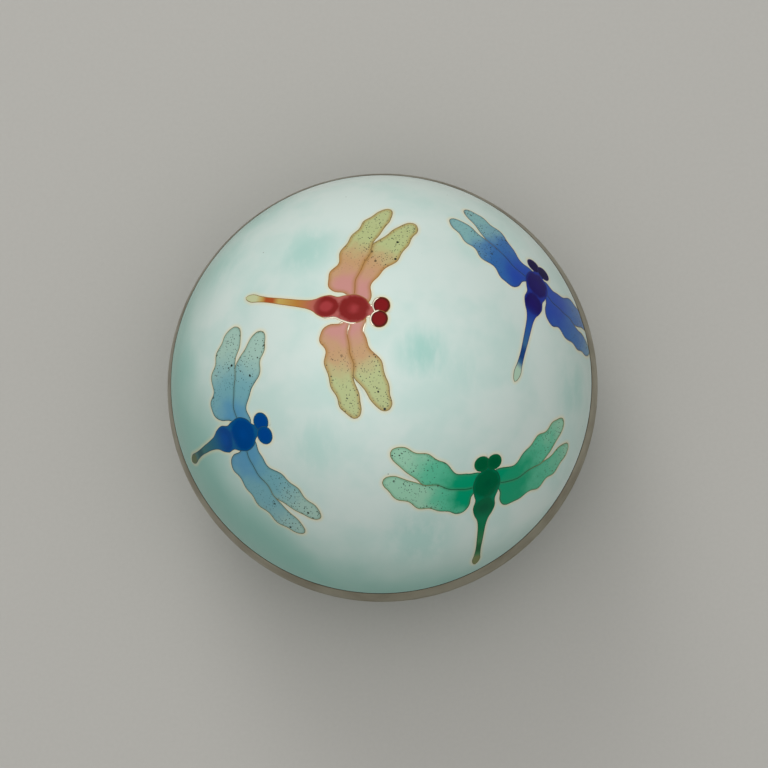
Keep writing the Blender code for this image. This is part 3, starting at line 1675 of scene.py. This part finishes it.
    def wires(self) -> Piece:
        """Bends the wires along every cell's edge, and grinds them flush with the dome.

        Returns:
            The wires.
        """
        chains = [
            edge_chain(f"{self.name}_wire", self.spot.lay(line, Layer.WIRE.value), closed)
            for line, closed in self.wire_lines()
        ]
        piece = join_pieces(chains, f"{self.name}_wires")
        bpy.ops.object.convert(target="CURVE")
        curve = bpy.context.object.data
        for spline in curve.splines:
            for point in spline.points:
                place = np.array(point.co[:3])[None, :]
                # The wire swells where the painted glint lies, to make the glint bolder.
                point.radius = 1 + self.glint_swell * float(self.painted_glint_at(place)[0])
        curve.bevel_depth = self.wire_radius * MM
        curve.bevel_resolution = self.wire_roundness
        curve.use_fill_caps = True
        bpy.ops.object.convert(target="MESH")
        piece = new_piece(f"{self.name}_wires")
        merge_points(piece)
        bpy.ops.object.shade_smooth()
        middle = np.array([0, 0, SHAPE.centre])
        out = points_of(piece) - middle
        reach = np.linalg.norm(out, axis=1)
        ground = np.minimum(reach, SHAPE.face + Layer.GROUND_WIRE.value * MM)
        points = middle + out * (ground / reach)[:, None]
        place_points(piece, points)
        # Painted highlight: how strongly the glint lies on each point of the wire.
        write_values(piece, "painted_glint", self.painted_glint_at(points))
        ahead = np.linspace(*self.dark_wire_spine, self.spine_steps)
        spine = self.spot.lay(np.column_stack([ahead, np.zeros_like(ahead)]), 0.0)
        far = np.linalg.norm(points[:, None, :] - spine[None, :, :], axis=2).min(axis=1) / MM
        near = (self.dark_wire_reach - far) / self.dark_wire_fade
        write_values(piece, "near_body", np.clip(near, 0, 1))
        dress(piece, self.look.wire.make())
        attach(piece, BODY)
        return piece

    def fringe(self, ground: Material) -> Piece:
        """Lays the strips of ground enamel beside the wires that carry their warm bloom.

        Args:
            ground: The ground enamel.

        Returns:
            The joined strips.
        """
        wires = np.vstack([line for line, _ in self.wire_lines()])
        outlines = [self.body_outline()] + [self.eye_outline(side) for side in Side]
        for side, pair in self.pairs:
            edges = [self.laid_pair(side, edge) for edge in pair.edges(self.fringe_steps)]
            outlines += [
                np.vstack([front, back[::-1][1:]]) for front, back in (edges[:2], edges[2:])
            ]
        pieces = []
        for number, outline in enumerate(outlines):
            closed = np.vstack([outline, outline[:1]])
            ring = even_spacing(closed, self.fringe_cells[0])[:-1]
            ahead = np.roll(ring, -1, axis=0) - np.roll(ring, 1, axis=0)
            away = np.column_stack([ahead[:, 1], -ahead[:, 0]])
            away /= np.maximum(np.hypot(*away.T), TINY)[:, None]
            if inside_outline(ring + away * OUTSIDE_STEP, ring).mean() > 0.5:
                away = -away
            away = (away + np.roll(away, 1, axis=0) + np.roll(away, -1, axis=0)) / 3
            inner = np.vstack([ring, ring[:1]])
            outer = inner + np.vstack([away, away[:1]]) * self.bloom_reach
            piece, drawing, across = self.cell(
                f"{self.name}_fringe", self.fringe_cells, inner, outer, 0.0
            )
            height = Layer.FRINGE.value + self.fringe_rise * number - self.fringe_fall * across
            place_points(piece, self.spot.lay(drawing, height))
            gap = np.clip(1 - nearest_distance(drawing, wires) / self.bloom_reach, 0, 1)
            write_values(piece, "bloom", self.bloom_depth * gap**self.bloom_fall)
            pieces.append(piece)
        return self.finish_cells(pieces, f"{self.name}_fringe", ground)

    def build(self, ground: Material) -> list[Piece]:
        """Makes all of the dragonfly's pieces.

        Args:
            ground: The ground enamel, which the fringe carries on.

        Returns:
            The pieces.
        """
        return [self.fringe(ground), self.wings(), self.body(), self.eyes(), self.wires()]


RED = DragonflyLook(
    WingEnamel(
        "rose_to_lime_wing_enamel", "#CB9088", "#C69E74", "#BAC48C", "#AC7A2C",
        stain_reach=0.95, stain_depth=0.58,
    ),
    BodyEnamel(
        "crimson_body_enamel", heart="#A63A3C", core="#85211F", rim="#B5605A",
        tail="#B8803C", tail_end="#C4A85C", band="#B0562C", tip="#C6CC9E",
    ),
    EyeEnamel("dark_crimson_eye_enamel", "#82191C", "#4A1E16"),
    FiredWire("amber_brown_wire", "#948050", "#B07A3A"),
)
SKY = DragonflyLook(
    WingEnamel(
        "sky_blue_wing_enamel", "#5C9ABC", "#78AFB8", "#A8C9BB", "#5A7C66",
        stops=(0.08, 0.36, 0.8),
    ),
    BodyEnamel(
        "cobalt_body_enamel", heart="#004A96", core="#00468C", rim="#0E5C90",
        tail="#2A6A80", tail_end="#3F7472", band="#2A5A60", tip="#5E6C48",
    ),
    EyeEnamel("cobalt_eye_enamel", "#004692", "#065088"),
    FiredWire("olive_brown_wire", "#86805A", "#2F5560"),
)
GREEN = DragonflyLook(
    WingEnamel(
        "sea_green_wing_enamel", "#009E71", "#5CC09A", "#9CD0B2", "#4E8058",
        stops=(0.15, 0.38, 0.66),
    ),
    BodyEnamel(
        "bottle_green_body_enamel", heart="#005C3C", core="#00643F", rim="#007B55",
        tail="#007A4C", tail_end="#3A7C4C", band="#1C6238", tip="#7A8252",
    ),
    EyeEnamel("bottle_green_eye_enamel", "#00603A", "#0A6A40"),
    FiredWire("olive_wire", "#86804C", "#0B5C3E"),
)
VIOLET = DragonflyLook(
    WingEnamel(
        "royal_blue_wing_enamel", "#1746AC", "#2F6CAE", "#84B6B6", "#34597C",
        stops=(0.10, 0.42, 0.8),
    ),
    BodyEnamel(
        "indigo_body_enamel", heart="#1A0A66", core="#180A60", rim="#1B3298",
        tail="#2C5AA8", tail_end="#3F6E96", band="#234A84", tip="#B2D0B8",
    ),
    EyeEnamel("indigo_eye_enamel", "#120842", "#180C4C"),
    FiredWire("grey_brown_wire", "#77785C", "#20306A"),
)


def four_dragonflies() -> list[Dragonfly]:
    """The lid's picture: four dragonflies of one pattern in four colours."""
    return [
        Dragonfly(
            name="red_dragonfly",
            spot=DomeSpot(polar=16.3, azimuth=113.0, heading=-6.9),
            look=RED,
            wings_left=WingPair(length=21.4, hind_length=1.12, breadth=1.02),
            wings_right=WingPair(length=18.8, hind_length=1.03, wave_start=2.0),
            eye_radius=1.72,
            eye_aside=1.4,
            lean_left=75.5,
            lean_right=69.0,
            tail_length=23.2,
            tail_bend=2.6,
            # Where the painted glints lie on the wires.
            painted_glint_spots=(
                (-4.2, -2.35, 0.8), (-3.2, -2.1, 0.9), (-2.2, -2.25, 0.9), (-1.2, -2.6, 0.9),
                (-0.2, -2.85, 0.9), (0.8, -2.95, 0.9), (0.7, -4.0, 0.9), (0.9, -4.9, 0.8),
                (3.0, -3.0, 0.8), (3.1, -3.9, 0.8), (4.5, -0.5, 0.8), (5.0, 0.1, 0.7),
                (4.25, -1.4, 0.9), (4.6, -2.4, 0.9), (4.35, 0.9, 0.8), (4.4, 2.0, 0.6),
                (4.75, 2.6, 0.6),
            ),
        ),
        Dragonfly(
            name="violet_dragonfly",
            spot=DomeSpot(polar=55.7, azimuth=29.2, heading=55.1),
            look=VIOLET,
            lean_left=60.0,
            lean_right=77.0,
            wings_left=WingPair(length=18.9, hind_length=1.03),
            # The right wings keep their deep root colour further out: partly painted shade near
            # the dome's edge.
            wings_right=WingPair(
                length=17.0, hind_length=1.05, fore_shade=1.7, hind_shade=1.6, wave_start=2.5
            ),
            tail_length=22.0,
            tail_bend=-2.9,
            eye_ahead=5.4,
        ),
        Dragonfly(
            name="sky_blue_dragonfly",
            spot=DomeSpot(polar=42.8, azimuth=-154.9, heading=7.6),
            look=SKY,
            wings_left=WingPair(
                length=18.2, breadth=1.04, hind_length=1.04, hind_breadth=1.22, wave_start=1.0
            ),
            wings_right=WingPair(
                length=20.0, breadth=0.94, hind_length=1.05, hind_breadth=1.08,
                wave_start=3.0, fore_shade=1.15, hind_shade=1.4,
            ),
            eye_radius=1.75,
            body_width=1.12,
            lean_left=71.5,
            lean_right=73.0,
            tail_length=19.6,
            tail_bend=-2.6,
        ),
        Dragonfly(
            name="green_dragonfly",
            spot=DomeSpot(polar=46.1, azimuth=-46.4, heading=103.8),
            look=GREEN,
            wings_left=WingPair(length=19.0, wave_start=4.0, fore_shade=1.3, hind_shade=0.88),
            wings_right=WingPair(
                length=19.4, hind_length=1.03, wave_start=5.0, fore_shade=1.6, hind_shade=1.65
            ),
            eye_ahead=5.1,
            lean_left=73.0,
            lean_right=73.0,
            tail_length=21.0,
            tail_bend=-2.3,
        ),
    ]


# The studio


@dataclass
class Studio:
    """A pale floor, a large soft light from the upper left, and the camera over the lid."""

    far: float = 1.2
    lens: float = 285.0
    tilt: float = 7.0
    towards: float = 290.0
    frame_pixels: float = 768.0
    sensor: float = 36.0
    nearest_seen: float = 0.05
    farthest_seen: float = 20.0
    aim_pixels: tuple[float, float] = (1.8, 2.7)
    floor_size: float = 6.0
    floor_colour: str = "#B9B7B1"
    floor_roughness: float = 0.9
    grain_size: float = 0.8
    grain_depth: float = 0.06
    key_power: float = 4.1
    key_size: float = 0.84
    key_far: float = 0.9
    key_aim: float = 0.04
    key_azimuth: float = 108.0
    key_height: float = 35.0
    key_gather: float = 2.0
    sky_high: float = 1.63
    sky_low: float = 0.03
    sky_gather: float = 2.5

    def camera(self) -> None:
        """Sets the camera over the lid, with +Y up in the picture."""
        back = Vector(direction_at(self.tilt, self.towards))
        turn = Vector((0, 0, 1)).rotation_difference(back)
        pixel = self.far * self.sensor / self.lens / self.frame_pixels
        aside = turn @ Vector((self.aim_pixels[0] * pixel, self.aim_pixels[1] * pixel, 0))
        data = bpy.data.cameras.new("camera")
        data.lens = self.lens
        data.sensor_width = self.sensor
        data.clip_start = self.nearest_seen
        data.clip_end = self.farthest_seen
        camera = bpy.data.objects.new("camera", data)
        camera.rotation_mode = "QUATERNION"
        camera.rotation_quaternion = turn
        camera.location = Vector((0, 0, SHAPE.seam)) + aside + back * self.far
        bpy.context.scene.collection.objects.link(camera)
        bpy.context.scene.camera = camera

    def key(self) -> None:
        """Adds the soft round light that faces the box and fades out towards its edge."""
        out = Vector(direction_at(90 - self.key_height, self.key_azimuth))
        data = bpy.data.lights.new("key", "AREA")
        data.shape = "DISK"
        data.size = self.key_size
        data.energy = self.key_power
        data.use_nodes = True
        tree = data.node_tree
        place = add_node(tree, "NewGeometry", output="Parametric")
        half = 0.5
        far_out = [place, (half, half, 0)]
        far_out = add_node(tree, "VectorMath", far_out, "Value", operation="DISTANCE")
        faded = [far_out, 0.0, half, self.key_gather, 0.0]
        soft = add_node(tree, "MapRange", faded, interpolation_type="SMOOTHERSTEP")
        feed(tree.nodes["Emission"], {"Strength": soft})
        lamp = bpy.data.objects.new("key", data)
        lamp.visible_glossy = False
        lamp.location = Vector((0, 0, self.key_aim)) + out * self.key_far
        lamp.rotation_mode = "QUATERNION"
        lamp.rotation_quaternion = out.to_track_quat("Z", "Y")
        bpy.context.scene.collection.objects.link(lamp)

    def floor(self) -> None:
        """Lays the pale floor."""
        deselect_all()
        bpy.ops.mesh.primitive_plane_add(size=self.floor_size)
        floor = new_piece("floor")
        material, tree, where = new_material("pale_floor")
        grain = add_node(tree, "TexNoise", sized(where, self.grain_size))
        colour = {"Factor": self.grain_depth, "A": self.floor_colour, "B": grain}
        colour = add_node(tree, "Mix", colour, "Result", blend_type="MULTIPLY", **RGBA)
        dress(floor, shaded(material, {"Base Color": colour, "Roughness": self.floor_roughness}))

    def sky(self) -> None:
        """Adds the soft sky, which gathers its light overhead."""
        world = bpy.data.worlds.new("soft_sky")
        world.use_nodes = True
        tree = world.node_tree
        where = add_node(tree, "TexCoord", output="Generated")
        up = add_node(tree, "SeparateXYZ", [where], "Z")
        above = add_node(tree, "Math", [up, 0.0], operation="MAXIMUM")
        gathered = add_node(tree, "Math", [above, self.sky_gather], operation="POWER")
        glow = {"Value": gathered, "To Min": self.sky_low, "To Max": self.sky_high}
        glow = add_node(tree, "MapRange", glow)
        feed(tree.nodes["Background"], {"Color": "#FFFFFF", "Strength": glow})
        bpy.context.scene.world = world

    def build(self) -> None:
        """Sets the whole studio."""
        self.camera()
        self.floor()
        self.key()
        self.sky()
        bpy.context.scene.view_settings.view_transform = "Standard"


CLOUDS = (
    CloudPatch(39.5, 120.6, 11.2, 0.72),
    CloudPatch(71.0, 125.3, 14.0, 0.68),
    CloudPatch(62.4, 142.8, 12.6, 0.59),
    CloudPatch(22.5, -4.1, 10.0, 0.45),
    CloudPatch(13.0, 14.0, 9.5, 0.95),
    CloudPatch(26.7, -126.7, 11.2, 0.55),
    CloudPatch(51.2, -75.6, 14.0, 0.72),
    CloudPatch(64.6, 177.2, 12.6, 0.68),
    CloudPatch(63.3, -3.5, 11.2, 0.68),
    CloudPatch(66.8, -135.8, 14.0, 0.68),
    CloudPatch(73.2, -112.5, 14.0, 0.68),
    CloudPatch(67.1, -26.8, 11.2, 0.51),
)
BOWL_CLOUDS = (
    CloudPatch(104.0, 75.0, 19.0, 0.7),
    CloudPatch(110.0, -160.0, 21.0, 0.6),
    CloudPatch(106.0, -50.0, 18.0, 0.65),
)


def main() -> None:
    """Builds the box, its picture and the studio."""
    logging.basicConfig(level=logging.INFO, format="%(name)s: %(message)s")
    ground = MilkyGroundEnamel(patches=CLOUDS).make()
    # The bowl's ground has a fainter margin, partly aqua and partly painted shade.
    bowl_ground = MilkyGroundEnamel(
        name="milky_bowl_enamel", patches=BOWL_CLOUDS, margin_and_shade_depth=0.4
    ).make()
    lining = CounterEnamel().make()
    silver = SatinSilver().make()
    joint = BlackenedJoint().make()
    lid, base = Lid(), Base()
    pieces = [lid.shell(ground, lining, joint), lid.rim(silver, joint)]
    pieces += [base.bowl(bowl_ground, lining), base.rim(silver), base.foot(silver)]
    for dragonfly in four_dragonflies():
        pieces += dragonfly.build(ground)
    for piece in pieces:
        log.info("%s: %d faces", piece.name, len(piece.data.polygons))
    Studio().build()


if __name__ == "__main__":
    main()
